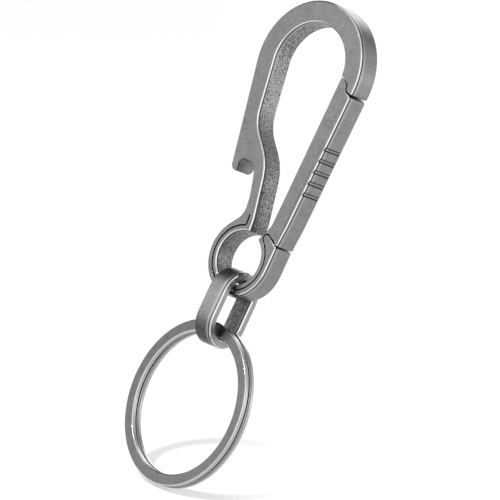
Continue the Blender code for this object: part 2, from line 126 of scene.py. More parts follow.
class EdgeSizes(bpy.types.PropertyGroup):
    """Sizes of the edges and seams that the solids leave plain."""

    merge: FloatProperty(
        name="Merge distance", description="Corners closer than this are one corner",
        default=0.001 * MM, unit="LENGTH", precision=6,
    )
    flatten: FloatProperty(
        name="Flat angle", description="Triangles that meet at less than this are one face",
        default=math.radians(1), subtype="ANGLE",
    )
    face_roll: FloatProperty(
        name="Face roll", description="Width by which the edge between face and chamfer is rolled over",
        default=0.18 * MM, unit="LENGTH", precision=5,
    )
    wall_roll: FloatProperty(
        name="Wall roll", description="Width by which the edge between chamfer and wall is rolled over",
        default=0.06 * MM, unit="LENGTH", precision=5,
    )
    wire_edge: FloatProperty(
        name="Wire-cut edge", description="Width of the burr-free edge along the slot and the cuts",
        default=0.07 * MM, unit="LENGTH", precision=5,
    )
    groove_roll: FloatProperty(
        name="Groove roll", description="Width by which the bottom corners of the grip grooves are rounded",
        default=0.12 * MM, unit="LENGTH", precision=5,
    )
    ring_roll: FloatProperty(
        name="Ring edge roll", description="Width by which the ring wire's edges are rolled over",
        default=0.045 * MM, unit="LENGTH", precision=5,
    )
    turn_closing: FloatProperty(
        name="Turn closing", description="How far each turn's inner side is moved towards the other turn",
        default=0.12 * MM, unit="LENGTH", precision=5,
    )
    roll_steps: IntProperty(
        name="Roll steps", description="Faces across each rolled edge", default=2, min=1, max=4,
    )
    seam: FloatProperty(
        name="Seam", description="Gap between the solids where the real plate is one piece",
        default=0.3 * MM, unit="LENGTH", precision=5,
    )
    band_middle: FloatProperty(
        name="Band middle", description="Radius of the middle of the spring band round the eye",
        default=5.65 * MM, unit="LENGTH", precision=5,
    )
    band_end: FloatProperty(
        name="Band end", description="Angle round the eye at which the spring band ends",
        default=math.radians(42), subtype="ANGLE",
    )
    smooth: FloatProperty(
        name="Smooth angle", description="Faces that meet at less than this are shaded as one",
        default=math.radians(24), subtype="ANGLE",
    )


class TitaniumFinish(bpy.types.PropertyGroup):
    """Colours and grain of the titanium, and where painted shade and painted highlights darken or lighten a
    piece.
    """

    plate: FloatVectorProperty(
        name="Plate", description="Blasted plate", default=(0.205, 0.205, 0.207), subtype="COLOR",
    )
    link: FloatVectorProperty(
        name="Link", description="Tumbled link", default=(0.22, 0.22, 0.222), subtype="COLOR",
    )
    ring: FloatVectorProperty(
        name="Ring", description="Ground ring wire", default=(0.205, 0.205, 0.207), subtype="COLOR",
    )
    # Colour of the bright chamfers: partly real wear, partly a painted highlight
    wear_and_highlight: FloatVectorProperty(
        name="Worn edge", description="Edges rubbed bright", default=(0.62, 0.62, 0.62), subtype="COLOR",
    )
    grain: FloatProperty(
        name="Grain", description="Size of the blasted grain", default=0.28 * MM, unit="LENGTH", precision=5,
    )
    sand: FloatProperty(
        name="Sand", description="Size of the coarse grain on the inner walls",
        default=0.2 * MM, unit="LENGTH", precision=5,
    )
    mottle: FloatProperty(
        name="Mottle", description="Size of the cloudy patches", default=1.6 * MM, unit="LENGTH", precision=5,
    )
    streak: FloatProperty(
        name="Streak", description="Pitch of the wire-cutting streaks on the walls",
        default=0.22 * MM, unit="LENGTH", precision=5,
    )
    # Depth of the edge band that takes the wear and the painted highlight
    rubbed_and_highlit: FloatProperty(
        name="Rubbed edge", description="Depth to which the edges are rubbed bright",
        default=0.19 * MM, unit="LENGTH", precision=5,
    )
    # Painted shade: width of the dark stripe beside the bright edge, where the chamfer meets the wall
    line: FloatProperty(
        name="Burnished line", description="Width of the dark line that the tumbling leaves beside it",
        default=0.32 * MM, unit="LENGTH", precision=5,
    )
    # Painted shade in the claw's mouth and the grip grooves, which lightens over this depth
    mouth_fade: FloatProperty(
        name="Mouth fade", description="Depth over which the claw's mouth grows lighter",
        default=3 * MM, unit="LENGTH", precision=5,
    )
    # Painted shade: under this height the inner walls darken and lose their painted highlight
    low_start: FloatProperty(
        name="Low start", description="Height under which the inner walls darken and lose their fringe",
        default=-10 * MM, unit="LENGTH", precision=5,
    )
    # Painted light: the inner walls are lightened between these heights
    lit_top: FloatVectorProperty(
        name="Lit top", description="Heights at which the inner walls start to lighten and are light",
        default=(-8 * MM, -14 * MM), size=2, unit="LENGTH", precision=5,
    )
    # Where the painted light on the inner walls fades out again
    lit_foot: FloatVectorProperty(
        name="Lit foot", description="Heights at which the lightened walls start to darken and are dark",
        default=(-18 * MM, -30 * MM), size=2, unit="LENGTH", precision=5,
    )
    sand_fade: FloatVectorProperty(
        name="Sand fade", description="Heights at which the sand starts to thin out and is thin",
        default=(-22 * MM, -38 * MM), size=2, unit="LENGTH", precision=5,
    )
    # Painted shade on the link's outer band: lightest at this height above its middle, darker away from it
    band_light: FloatProperty(
        name="Band light", description="How far above its middle the link's band is lightest",
        default=0.8 * MM, unit="LENGTH", precision=5,
    )
    # Painted shade on the link's bends, by distance from that lightest height
    bend_fade: FloatVectorProperty(
        name="Bend fade", description="Distances from there at which the band starts to darken and is dark",
        default=(1.5 * MM, 6 * MM), size=2, unit="LENGTH", precision=5,
    )


class StudioSizes(bpy.types.PropertyGroup):
    """Camera, lamps and floor."""

    azimuth: FloatProperty(
        name="Azimuth", description="Camera's turn to the right of the plate's front",
        default=math.radians(41), subtype="ANGLE",
    )
    roll: FloatProperty(
        name="Roll", description="Lean of the hanging object to the right in the picture",
        default=math.radians(20), subtype="ANGLE",
    )
    aim: FloatVectorProperty(
        name="Aim", description="Picture's middle, right of and above the eye",
        default=(0.66 * MM, 1.901 * MM), size=2, unit="LENGTH", precision=5,
    )
    width: FloatProperty(
        name="Picture width", description="Width of the view at the object",
        default=92.75 * MM, unit="LENGTH", precision=5,
    )
    distance: FloatProperty(
        name="Camera distance", description="From the camera to the object", default=1.6, unit="LENGTH",
    )
    sight: FloatProperty(
        name="Sight", description="How far the camera sees", default=10, unit="LENGTH",
    )
    look_down: FloatProperty(
        name="Look down", description="Camera's angle above the floor",
        default=math.radians(20), subtype="ANGLE",
    )
    world_light: FloatProperty(
        name="World light", description="Strength of the white world as light; as a backdrop it is 1",
        default=0.5, min=0, max=1,
    )
    floor: FloatProperty(
        name="Floor", description="Width of the floor", default=3, unit="LENGTH",
    )
    floor_white: FloatProperty(
        name="Floor white", description="How white the floor looks in the ring's shadow",
        default=0.5, min=0, max=1,
    )
    fade: FloatVectorProperty(
        name="Floor fade", default=(10 * MM, 24 * MM), size=2, unit="LENGTH", precision=5,
        description="Right of the ring's foot, where the floor starts to fade and where it is white",
    )


class Socket:
    """Wraps a shader socket, so that maths on values reads as maths."""

    def __init__(self, tree, socket):
        self.tree = tree
        self.socket = socket

    def math(self, operation, other=0, swapped=False):
        """Math node of two values."""
        pair = (other, self) if swapped else (self, other)
        return self.tree.add("ShaderNodeMath", {"operation": operation}, dict(enumerate(pair)))

    def __add__(self, other):
        return self.math("ADD", other)

    def __sub__(self, other):
        return self.math("SUBTRACT", other)

    def __mul__(self, other):
        return self.math("MULTIPLY", other)

    def __radd__(self, other):
        return self.math("ADD", other, swapped=True)

    def __rsub__(self, other):
        return self.math("SUBTRACT", other, swapped=True)

    def __rmul__(self, other):
        return self.math("MULTIPLY", other, swapped=True)

    def ramp(self, limits, unit=1):
        """Value spread so that the first limit, in a unit, becomes 0 and the second 1, and held there."""
        values = {"Value": self, "From Min": limits[0] * unit, "From Max": limits[1] * unit}
        return self.tree.add("ShaderNodeMapRange", {"clamp": True}, values)


class Shader:
    """Node tree of one material or world, with one way to add a node."""

    # Places of a Mix node's two colours and of the colour that it gives
    LOW, HIGH, MIXED = 6, 7, 2

    def __init__(self, owner):
        owner.use_nodes = True
        self.nodes = owner.node_tree.nodes
        self.links = owner.node_tree.links

    def add(self, kind, settings=None, values=None, output=0):
        """New node with its settings first and then its inputs; gives one of its outputs, wrapped."""
        node = self.nodes.new(kind)
        for name, value in (settings or {}).items():
            setattr(node, name, value)
        for name, value in (values or {}).items():
            self.feed(node.inputs[name], value)
        return Socket(self, node.outputs[output])

    def feed(self, entry, value):
        """Link or set one input."""
        if isinstance(value, Socket):
            self.links.new(value.socket, entry)
        else:
            entry.default_value = value

    def noise(self, place, size, detail):
        """Cloudy value with patches of a size."""
        values = {"Vector": place, "Scale": 1 / size, "Detail": detail}
        return self.add("ShaderNodeTexNoise", {"noise_dimensions": "3D"}, values)

    def face_value(self, name):
        """Value kept on the faces under a name."""
        return self.add("ShaderNodeAttribute", {"attribute_name": name}, output="Fac")

    def along(self, place, axis, start):
        """How far a place lies from a start along an axis."""
        from_start = self.add("ShaderNodeVectorMath", {"operation": "SUBTRACT"}, {0: place, 1: start})
        values = {0: from_start, 1: axis}
        return self.add("ShaderNodeVectorMath", {"operation": "DOT_PRODUCT"}, values, "Value")

    def mix(self, factor, low, high):
        """Colour between two colours by a factor."""
        values = {"Factor": factor, self.LOW: low, self.HIGH: high}
        return self.add("ShaderNodeMix", {"data_type": "RGBA"}, values, self.MIXED)

    def tone(self, colour, spread, factor):
        """Colour that a factor takes from darker to lighter by a share."""
        low, high = ((*(channel * share for channel in colour), 1) for share in (1 - spread, 1 + spread))
        return self.mix(factor, low, high)

    def seen(self):
        """1 for rays by which the camera sees, straight or in a reflection or through glass."""
        camera, glossy, through = (self.add("ShaderNodeLightPath", output=ray) for ray in SEEING_RAYS)
        return camera.math("MAXIMUM", glossy).math("MAXIMUM", through)


SEEING_RAYS = ("Is Camera Ray", "Is Glossy Ray", "Is Transmission Ray")


def deselect():
    """Leave nothing selected, in object mode."""
    if bpy.context.object and bpy.context.object.mode != "OBJECT":
        bpy.ops.object.mode_set(mode="OBJECT")
    bpy.ops.object.select_all(action="DESELECT")


def edit(piece):
    """Make a piece the only one selected, and edit it with nothing selected in it."""
    deselect()
    piece.select_set(True)
    bpy.context.view_layer.objects.active = piece
    bpy.ops.object.mode_set(mode="EDIT")
    bpy.ops.mesh.select_mode(type="EDGE")
    bpy.ops.mesh.select_all(action="DESELECT")


def pick(piece, mode, wanted):
    """Select the corners, edges or faces of the edited piece that pass a test."""
    bpy.ops.mesh.select_all(action="DESELECT")
    bpy.ops.mesh.select_mode(type=mode)
    shape = bmesh.from_edit_mesh(piece.data)
    elements = {"VERT": shape.verts, "EDGE": shape.edges, "FACE": shape.faces}[mode]
    for element in [element for element in elements if wanted(element)]:
        element.select_set(True)
    shape.select_flush_mode()
    bmesh.update_edit_mesh(piece.data)


def copy_of(node, name):
    """Copy of a solid, its loose triangles merged into whole faces, open for editing."""
    sizes = bpy.context.scene.carabiner_edges
    piece = bpy.data.objects.new(name, frame["nodes"][node].data.copy())
    piece.data.name = name
    piece.data.materials.clear()
    bpy.context.scene.collection.objects.link(piece)
    edit(piece)
    bpy.ops.mesh.customdata_custom_splitnormals_clear()
    bpy.ops.mesh.select_all(action="SELECT")
    bpy.ops.mesh.remove_doubles(threshold=sizes.merge)
    bpy.ops.mesh.mark_sharp(clear=True)
    bpy.ops.mesh.dissolve_limited(angle_limit=sizes.flatten)
    return piece


def lean(face, axis):
    """How much a face's normal leans to an axis, from 0 to 1."""
    return abs(face.normal.dot(axis))


def is_wall(leaning):
    """Whether a face that leans so much is a wall."""
    return leaning < WALL


def is_chamfer(leaning):
    """Whether a face that leans so much lies between flat and wall."""
    return WALL < leaning < FLAT


def is_flat(leaning):
    """Whether a face that leans so much is a flat."""
    return leaning > FLAT


def nowhere(face):
    """Test for a piece that has no seams, or no painted shade in mouths or grooves."""
    return False


def middle_of(node):
    """Middle of a node's box."""
    low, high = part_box(node)
    return (low + high) / 2


def half_depth(node, axis):
    """How far a solid reaches from the eye along an axis."""
    return max(abs((corner.co - EYE).dot(axis)) for corner in frame["nodes"][node].data.vertices)


def in_mouth_box(place):
    """Whether a place lies in the box round the claw's mouth."""
    low, high = MOUTH
    return low.x < place.x < high.x and low.z < place.z < high.z


def plate_inside(place):
    """Point across the eye or the room that a wall at a place on the plate may face, and its sand."""
    if in_mouth_box(place):
        return place, 0
    if (place - EYE).length < RIM_REACH:
        return EYE, EYE_SAND
    height = min(max(place.z, EYE.z + RIM_REACH), 0)
    return Vector((ROOM_MIDDLE, 0, height)), ROOM_SAND


def round_inside(node):
    """The same for a round piece, whose walls may face its middle."""
    middle = middle_of(node)
    return lambda place: (middle, ROUND_SAND)


def in_mouth(face):
    """How dark the painted shade makes a face of the frame in the mouth of the claw."""
    if not in_mouth_box(face.center) or is_flat(lean(face, PLATE_AXIS)):
        return 0
    return TOOTH_DARK if face.normal.x > TOOTH_LEAN else MOUTH_DARK


def in_grip(place):
    """Whether a place on the gate lies in the grip."""
    return GRIP[0] < place.z < GRIP[1] and place.x >= GRIP_INNER


def groove_corner(edge):
    """Whether an edge of the gate is a bottom corner of a grip groove."""
    if not in_grip((edge.verts[0].co + edge.verts[1].co) / 2):
        return False
    has_side = any(face.normal.x < GROOVE_SIDE for face in edge.link_faces)
    floors = [face for face in edge.link_faces if face.normal.x > GROOVE_SIDE]
    return has_side and any(face.calc_area() < GROOVE_FLOOR for face in floors)


def in_groove(face):
    """How dark the painted shade makes a face of the gate that is a side or a bottom corner of a grip groove.
    """
    if not in_grip(face.center) or lean(face, PLATE_AXIS) > WALL:
        return 0
    looks_up = face.normal.z > 0
    if face.normal.x < GROOVE_SIDE:
        return GROOVE_DARK["ledge" if looks_up else "roof"]
    return GROOVE_DARK["upper corner"] if face.area < GROOVE_FLOOR and looks_up else 0


def in_gap(side):
    """Test for a face between the ring's turns that looks to a side."""
    middle = middle_of("key_ring")

    def wanted(face):
        return face.normal.dot(side) > FLAT and (face.calc_center_median() - middle).dot(side) < 0
    return wanted


def past_band_end(place):
    """Angle round the eye by which a place lies past the end of the spring band."""
    arm = place - EYE
    return math.atan2(arm.z, arm.x) - bpy.context.scene.carabiner_edges.band_end


def seam_turn():
    """Angle round the eye that the seam at the band's end takes."""
    sizes = bpy.context.scene.carabiner_edges
    return sizes.seam / sizes.band_middle


def at_root(face):
    """Whether a face of the frame lies on the seam at the spring band's root."""
    level = SPRING_TOP + bpy.context.scene.carabiner_edges.seam
    centre = face.calc_center_median()
    near = abs(centre.z - level) < ROOT_HALF_HEIGHT and abs(centre.x) < ROOT_HALF_WIDTH
    return near and is_flat(abs(face.normal.z))


def at_foot(face):
    """Whether a face lies on the seam between the spring band and the gate's foot."""
    turn = seam_turn()
    return abs(past_band_end(face.calc_center_median()) - turn) < turn / 4


def at_band_end(face):
    """Whether a face of the drawn-out spring band lies on either of its seams."""
    sizes = bpy.context.scene.carabiner_edges
    return face.calc_center_median().z > SPRING_TOP + sizes.seam - sizes.wire_edge or at_foot(face)


def at_gate_foot(face):
    """Whether a face of the gate lies on the seam at its foot."""
    reach = bpy.context.scene.carabiner_edges.band_middle * FOOT_REACH
    near = (face.calc_center_median() - EYE).length < reach
    return near and is_wall(lean(face, PLATE_AXIS)) and at_foot(face)


def roll_edges(piece, axis, face_roll, wall_roll, on_seam=nowhere):
    """Roll over both sides of each chamfer, and break the wire-cut edges that have none."""
    sizes = bpy.context.scene.carabiner_edges

    def between(low, high):
        def wanted(edge):
            leans = sorted(lean(face, axis) for face in edge.link_faces)
            return low(leans[0]) and high(leans[1]) and not any(on_seam(face) for face in edge.link_faces)
        return wanted

    rolls = (
        (is_wall, is_flat, sizes.wire_edge, 1),
        (is_chamfer, is_flat, face_roll, sizes.roll_steps),
        (is_wall, is_chamfer, wall_roll, sizes.roll_steps),
    )
    for low, high, width, steps in rolls:
        pick(piece, "EDGE", between(low, high))
        bpy.ops.mesh.bevel(offset=width, segments=steps, affect="EDGES", clamp_overlap=True)


def mark_faces(piece, axis, inside, hollow_shade=nowhere):
    """Keep on each face what the titanium needs to know of it.

    That is whether it is a whole chamfer, which takes the wear and the painted highlight, any face
    between flat and wall, or a wall, how sandy it is where it is a wall that faces the place that inside
    gives for its middle, and how dark the painted shade makes it in a mouth or groove.
    """
    bpy.ops.object.mode_set(mode="OBJECT")
    for name in FACE_MARKS:
        piece.data.attributes.new(name, "FLOAT", "FACE")
    marks = {name: piece.data.attributes[name].data for name in FACE_MARKS}
    for face in piece.data.polygons:
        leaning = lean(face, axis)
        faced, sandy = inside(face.center)
        faces_inside = face.normal.dot(faced - face.center) > 0
        dark = hollow_shade(face)
        marks["wear_and_highlight"][face.index].value = CHAMFER[0] < leaning < CHAMFER[1] and not dark
        marks["edge"][face.index].value = is_chamfer(leaning) and not dark
        marks["wall"][face.index].value = is_wall(leaning) or dark > 0
        marks["inner"][face.index].value = sandy * (is_wall(leaning) and faces_inside)
        marks["hollow_shade"][face.index].value = dark


def finish_piece(piece, node, material):
    """Smooth the piece's round faces, give it its titanium, and let it stand for its node."""
    sizes = bpy.context.scene.carabiner_edges
    bpy.ops.object.shade_smooth_by_angle(angle=sizes.smooth)
    bpy.ops.object.modifier_add(type="WEIGHTED_NORMAL")
    weighted = piece.modifiers[-1]
    weighted.keep_sharp = True
    bpy.ops.object.modifier_apply(modifier=weighted.name)
    piece.data.materials.append(material)
    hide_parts(node)
    deselect()


# How strong each effect is on the plate, the link and the ring; apart from roughness, streaks and the
# flat's tone, they are painted: the light band and the lightened ring walls as highlights, the dark
# stripe, the darker foot and the darker link bends as shade
PLATE_LOOK = {
    "rough": 0.40, "streaks": 0.35, "fringe_highlight": 1.0, "line": 0.75,
    "foot": 0.24, "flat": 0, "bend": 0, "wall_sheen": 0,
}
LINK_LOOK = {
    "rough": 0.36, "streaks": 0.20, "fringe_highlight": 0.8, "line": 0.35,
    "foot": 1.0, "flat": 0.35, "bend": 0.6, "wall_sheen": 0,
}
RING_LOOK = {
    "rough": 0.34, "streaks": 0, "fringe_highlight": 0, "line": 0,
    "foot": 0, "flat": 0, "bend": 0, "wall_sheen": 0.55,
}

# Spread of the greys and of the bright chamfer colour of wear and painted highlight, as shares of their
# colours, and the middle of both the greys and a noise
GREY_SPREAD = 0.75
HIGHLIGHT_AND_WEAR_SPREAD = 0.08
MIDDLE = 0.5

# How much each effect that all pieces share lightens or darkens the greys; the lit middle of the inner walls
# is painted light, and the gloom and the darkening in mouth and grooves are painted shade
TONES = {
    "grain": 0.6, "sand": 5.6, "mottle": 0.3, "wall": 0.14,
    "lit": 0.42, "gloom": 0.25, "hollow_shade": 0.42, "mouth": 0.2,
}

# How much of the sand is lost at the foot
SAND_LOSS = 0.5

# How much the grain roughens the metal, and how much an edge is polished
GRAIN_ROUGH = 0.12
EDGE_POLISH = 0.2

# How much of the grain's relief an edge and an inner wall lose, and the relief of the streaks
EDGE_SMOOTHING = 0.7
INNER_SMOOTHING = 0.8
STREAK_RELIEF = 0.6
RELIEF_STRENGTH = 0.35
RELIEF_DEPTH = 0.012 * MM

# Scale along each axis that draws the streaks out through the plate
STREAK_SCALE = (1, 0.02, 1)

# Between which multiples of the end of the painted dark stripe, or of the height of the low start, each zone
# fades in or out; the ends of the band of wear and painted highlight and of the dark stripe are both soft by
# SOFT_END
SOFT_END = (0.9, 1.1)
FRINGE_HIGHLIGHT_IN = (1, 1.1)
FRINGE_HIGHLIGHT_OUT = (1.2, 2.4)
SAND_IN = (1, 1.4)
GLOOM_OUT = (1, 5)
LOW_IN = (1, 1.5)
FOOT_IN = (1, 4)


class Point:
    """What the shader knows of a point: its place, its height, its depth and its face's marks.

    The depth is counted from a piece's flat front, which lies at a reach from the eye.
    """

    def __init__(self, shader, front, reach):
        finish = bpy.context.scene.carabiner_finish
        self.shader = shader
        self.place = shader.add("ShaderNodeTexCoord", output="Object")
        self.height = shader.add("ShaderNodeSeparateXYZ", None, {"Vector": self.place}, "Z")
        self.wear_and_highlight, self.edge, self.wall, self.inner, self.hollow_shade = map(shader.face_value, FACE_MARKS)
        self.hollow_shade_capped = self.hollow_shade.math("MINIMUM", 1)
        self.open_wall = 1 - self.hollow_shade_capped
        offset = shader.along(self.place, front, EYE)
        self.depth = reach - offset
        # Band along the flat front's edges that takes the wear and the painted highlight
        self.rubbed_and_highlit = 1 - (reach - offset.math("ABSOLUTE")).ramp(SOFT_END, finish.rubbed_and_highlit)
        self.shade_line_end = finish.rubbed_and_highlit + finish.line


def edge_tones(point, look):
    """Painted shade as a dark stripe beside the bright edge band, under it a painted highlight as a light
    band, or low down a painted gloom.
    """
    finish = bpy.context.scene.carabiner_finish
    # Painted shade: the dark stripe beside the bright edge band, and how far past it a point lies
    past_shade_line = point.depth.ramp(SOFT_END, point.shade_line_end)
    line = (point.wall + point.edge) * (1 - point.rubbed_and_highlit) * point.open_wall * (1 - past_shade_line)
    # Painted shade low down on the inner walls
    low = point.inner * point.height.ramp(LOW_IN, finish.low_start)
    # Painted highlight: a light band under the dark stripe, gone low down
    past_fringe_highlight = point.depth.ramp(FRINGE_HIGHLIGHT_OUT, point.shade_line_end)
    near = point.depth.ramp(FRINGE_HIGHLIGHT_IN, point.shade_line_end) * (1 - past_fringe_highlight)
    fringe_highlight = point.wall * near * point.open_wall * (1 - low)
    # Painted gloom: shade low down, near the front of the inner walls
    gloom = low * (1 - point.depth.ramp(GLOOM_OUT, point.shade_line_end))
    return fringe_highlight * look["fringe_highlight"] - line * look["line"] - gloom * TONES["gloom"]


def wall_tones(point, look):
    """Painted light on the inner walls at the middle and painted shade at their foot, painted shade on the
    link's outer bends, and painted shade in mouth and grooves.
    """
    finish = bpy.context.scene.carabiner_finish
    # Painted light on the inner walls at the middle height
    lit = point.inner * point.height.ramp(finish.lit_top) * (1 - point.height.ramp(finish.lit_foot))
    # Painted shade at the foot of the inner walls
    foot = point.inner * point.height.ramp(FOOT_IN, finish.low_start)
    # Painted shade on the link's outer bends, darker away from the lightest height
    lightest = middle_of("link") + UPWARDS * finish.band_light
    from_lightest = point.shader.along(point.place, UPWARDS, lightest).math("ABSOLUTE")
    outer = point.wall * (1 - point.inner * (1 / ROUND_SAND))
    bend = outer * from_lightest.ramp(finish.bend_fade)
    # The painted shade in mouth and grooves lightens with depth
    mouth = point.hollow_shade_capped * point.depth.ramp((0, finish.mouth_fade))
    dark = foot * look["foot"] + bend * look["bend"] + point.hollow_shade * TONES["hollow_shade"]
    return lit * TONES["lit"] + mouth * TONES["mouth"] - dark


def grain_tones(point, grain):
    """Blasted grain, cloudy patches, and coarse sand on the inner walls."""
    finish = bpy.context.scene.carabiner_finish
    mottle = point.shader.noise(point.place, finish.mottle, detail=4)
    sand = point.shader.noise(point.place, finish.sand, detail=0)
    kept = 1 - point.height.ramp(finish.sand_fade) * SAND_LOSS
    sandy = point.inner * point.open_wall * kept * point.depth.ramp(SAND_IN, point.shade_line_end)
    blasted = (grain - MIDDLE) * (1 - point.inner) * TONES["grain"]
    return blasted + (sand - MIDDLE) * sandy * TONES["sand"] + (mottle - MIDDLE) * TONES["mottle"]


def titanium(name, colour, front, reach, look):
    """Satin titanium: blasted grain, cloudy patches, wire-cut streaks on walls, bright edges of wear and
    painted highlight, and painted light and shade from the tone functions.

    The piece reaches this far from the eye to its flat front, and its edges are bright there.
    A reach of 0 makes them bright all over.
    """
    finish = bpy.context.scene.carabiner_finish
    material = bpy.data.materials.new(name)
    shader = Shader(material)
    surface = material.node_tree.nodes["Principled BSDF"]
    point = Point(shader, front, reach)
    grain = shader.noise(point.place, finish.grain, detail=2)
    drawn_out = shader.add("ShaderNodeMapping", None, {"Vector": point.place, "Scale": STREAK_SCALE})
    streak = shader.noise(drawn_out, finish.streak, detail=1)

    tones = grain_tones(point, grain) + edge_tones(point, look) + wall_tones(point, look)
    tones = tones + (streak - MIDDLE) * point.wall * look["streaks"] + point.wall * TONES["wall"]
    tones = tones + (1 - point.wall - point.edge) * look["flat"]
    grey = shader.tone(colour, GREY_SPREAD, (tones + MIDDLE).ramp((0, 1)))
    # Bright colour of wear and painted highlight on the chamfers, and on the ring's walls a painted
    # reflection
    bright = shader.tone(finish.wear_and_highlight, HIGHLIGHT_AND_WEAR_SPREAD, grain)
    brightness = (point.wear_and_highlight * point.rubbed_and_highlit).math("MAXIMUM", point.wall * look["wall_sheen"])
    shader.feed(surface.inputs["Base Color"], shader.mix(brightness, grey, bright))
    surface.inputs["Metallic"].default_value = 1

    rough = look["rough"] + (grain - MIDDLE) * GRAIN_ROUGH - point.edge * EDGE_POLISH
    shader.feed(surface.inputs["Roughness"], rough)

    smoothed = (1 - point.edge * EDGE_SMOOTHING) * (1 - point.inner * INNER_SMOOTHING)
    relief = grain * smoothed + streak * point.wall * look["streaks"] * STREAK_RELIEF
    values = {"Height": relief, "Strength": RELIEF_STRENGTH, "Distance": RELIEF_DEPTH}
    shader.feed(surface.inputs["Normal"], shader.add("ShaderNodeBump", None, values))
    return material


def plate_titanium():
    """The one titanium of frame, spring and gate."""
    name = "titanium_plate"
    finish = bpy.context.scene.carabiner_finish
    reach = half_depth("frame", PLATE_AXIS)
    return bpy.data.materials.get(name) or titanium(name, finish.plate, -PLATE_AXIS, reach, PLATE_LOOK)


class CARABINER_OT_frame(bpy.types.Operator):
    """Hook, spine, opener claw and the rim of the eye"""

    bl_idname = "carabiner.frame"
    bl_label = "Plate frame"

    def execute(self, context):
        sizes = context.scene.carabiner_edges
        piece = copy_of("frame", "plate_frame")
        roll_edges(piece, PLATE_AXIS, sizes.face_roll, sizes.wall_roll, at_root)
        mark_faces(piece, PLATE_AXIS, plate_inside, in_mouth)
        finish_piece(piece, "frame", plate_titanium())
        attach(piece, "frame")
        return {"FINISHED"}


class CARABINER_OT_spring(bpy.types.Operator):
    """Spring band round the eye, carried on to the frame and to the gate"""

    bl_idname = "carabiner.spring"
    bl_label = "Spring band"

    def execute(self, context):
        sizes = context.scene.carabiner_edges
        piece = copy_of("flexure_spring", "spring_band")
        pick(piece, "VERT", lambda corner: corner.co.z > SPRING_TOP - sizes.wire_edge)
        bpy.ops.transform.translate(value=(0, 0, sizes.seam))
        turn = seam_turn()
        pick(piece, "VERT", lambda corner: abs(past_band_end(corner.co)) < turn / 2)
        bpy.ops.transform.rotate(
            value=turn, orient_axis="Y", orient_type="GLOBAL", center_override=EYE,
        )
        roll_edges(piece, PLATE_AXIS, sizes.face_roll, sizes.wall_roll, at_band_end)
        mark_faces(piece, PLATE_AXIS, plate_inside)
        finish_piece(piece, "flexure_spring", plate_titanium())
        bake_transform(piece)
        return {"FINISHED"}


class CARABINER_OT_gate(bpy.types.Operator):
    """Gate arm with its grip and keyed head"""

    bl_idname = "carabiner.gate"
    bl_label = "Gate"

    def execute(self, context):
        sizes = context.scene.carabiner_edges
        piece = copy_of("gate", "plate_gate")
        pick(piece, "EDGE", groove_corner)
        bpy.ops.mesh.bevel(offset=sizes.groove_roll, segments=1, affect="EDGES", clamp_overlap=True)
        roll_edges(piece, PLATE_AXIS, sizes.face_roll, sizes.wall_roll, at_gate_foot)
        mark_faces(piece, PLATE_AXIS, plate_inside, in_groove)
        finish_piece(piece, "gate", plate_titanium())
        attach(piece, "gate")
        return {"FINISHED"}


class CARABINER_OT_link(bpy.types.Operator):
    """Oval link of flat band"""

    bl_idname = "carabiner.link"
    bl_label = "Link"

    def execute(self, context):
        sizes = context.scene.carabiner_edges
        finish = context.scene.carabiner_finish
        piece = copy_of("link", "oval_link")
        roll_edges(piece, LINK_AXIS, sizes.face_roll, sizes.wall_roll)
        mark_faces(piece, LINK_AXIS, round_inside("link"))
        reach = half_depth("link", LINK_AXIS)
        material = titanium("titanium_link", finish.link, LINK_AXIS, reach, LINK_LOOK)
        finish_piece(piece, "link", material)
        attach(piece, "link")
        return {"FINISHED"}


class CARABINER_OT_ring(bpy.types.Operator):
    """Split ring of flat wire"""

    bl_idname = "carabiner.ring"
    bl_label = "Split ring"

    def execute(self, context):
        sizes = context.scene.carabiner_edges
        finish = context.scene.carabiner_finish
        piece = copy_of("key_ring", "split_ring")
        for side in (RING_AXIS, -RING_AXIS):
            pick(piece, "FACE", in_gap(side))
            bpy.ops.transform.translate(value=side * sizes.turn_closing)
        roll_edges(piece, RING_AXIS, sizes.ring_roll, sizes.ring_roll)
        mark_faces(piece, RING_AXIS, round_inside("key_ring"))
        material = titanium("titanium_ring", finish.ring, -RING_AXIS, 0, RING_LOOK)
        finish_piece(piece, "key_ring", material)
        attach(piece, "key_ring")
        return {"FINISHED"}


class CARABINER_OT_stage(bpy.types.Operator):
    """Camera, soft boxes, white world and floor"""

    bl_idname = "carabiner.stage"
    bl_label = "Studio"

    def execute(self, context):
        studio = context.scene.carabiner_studio
        level = Vector((math.cos(studio.azimuth), math.sin(studio.azimuth), 0))
        upright = Vector((0, 0, 1))
        ahead = upright.cross(level)
        right = level * math.cos(studio.roll) + upright * math.sin(studio.roll)
        up = upright * math.cos(studio.roll) - level * math.sin(studio.roll)
        target = EYE + right * studio.aim[0] + up * studio.aim[1]

        lens = bpy.data.cameras.new("camera")
        camera = bpy.data.objects.new("camera", lens)
        context.scene.collection.objects.link(camera)
        context.scene.camera = camera
        lens.lens = lens.sensor_width * studio.distance / studio.width
        lens.clip_end = studio.sight
        camera.rotation_mode = "QUATERNION"
        camera.matrix_world = picture_frame(right, up, ahead, target - ahead * studio.distance)

        white_world(context.scene)
        for board in SOFT_BOXES:
            soft_box(board, target)
        for board in DARK_CARDS:
            dark_card(board, target)
        lay_floor(right, up * math.cos(studio.look_down) - ahead * math.sin(studio.look_down))
        context.scene.view_settings.view_transform = "Standard"
        return {"FINISHED"}


# Boards round the object that face it: azimuth from +X and height in degrees, then distance, width
# and height in metres, and watts for a soft box
Board = namedtuple("Board", "name azimuth height distance width tall power", defaults=(0,))

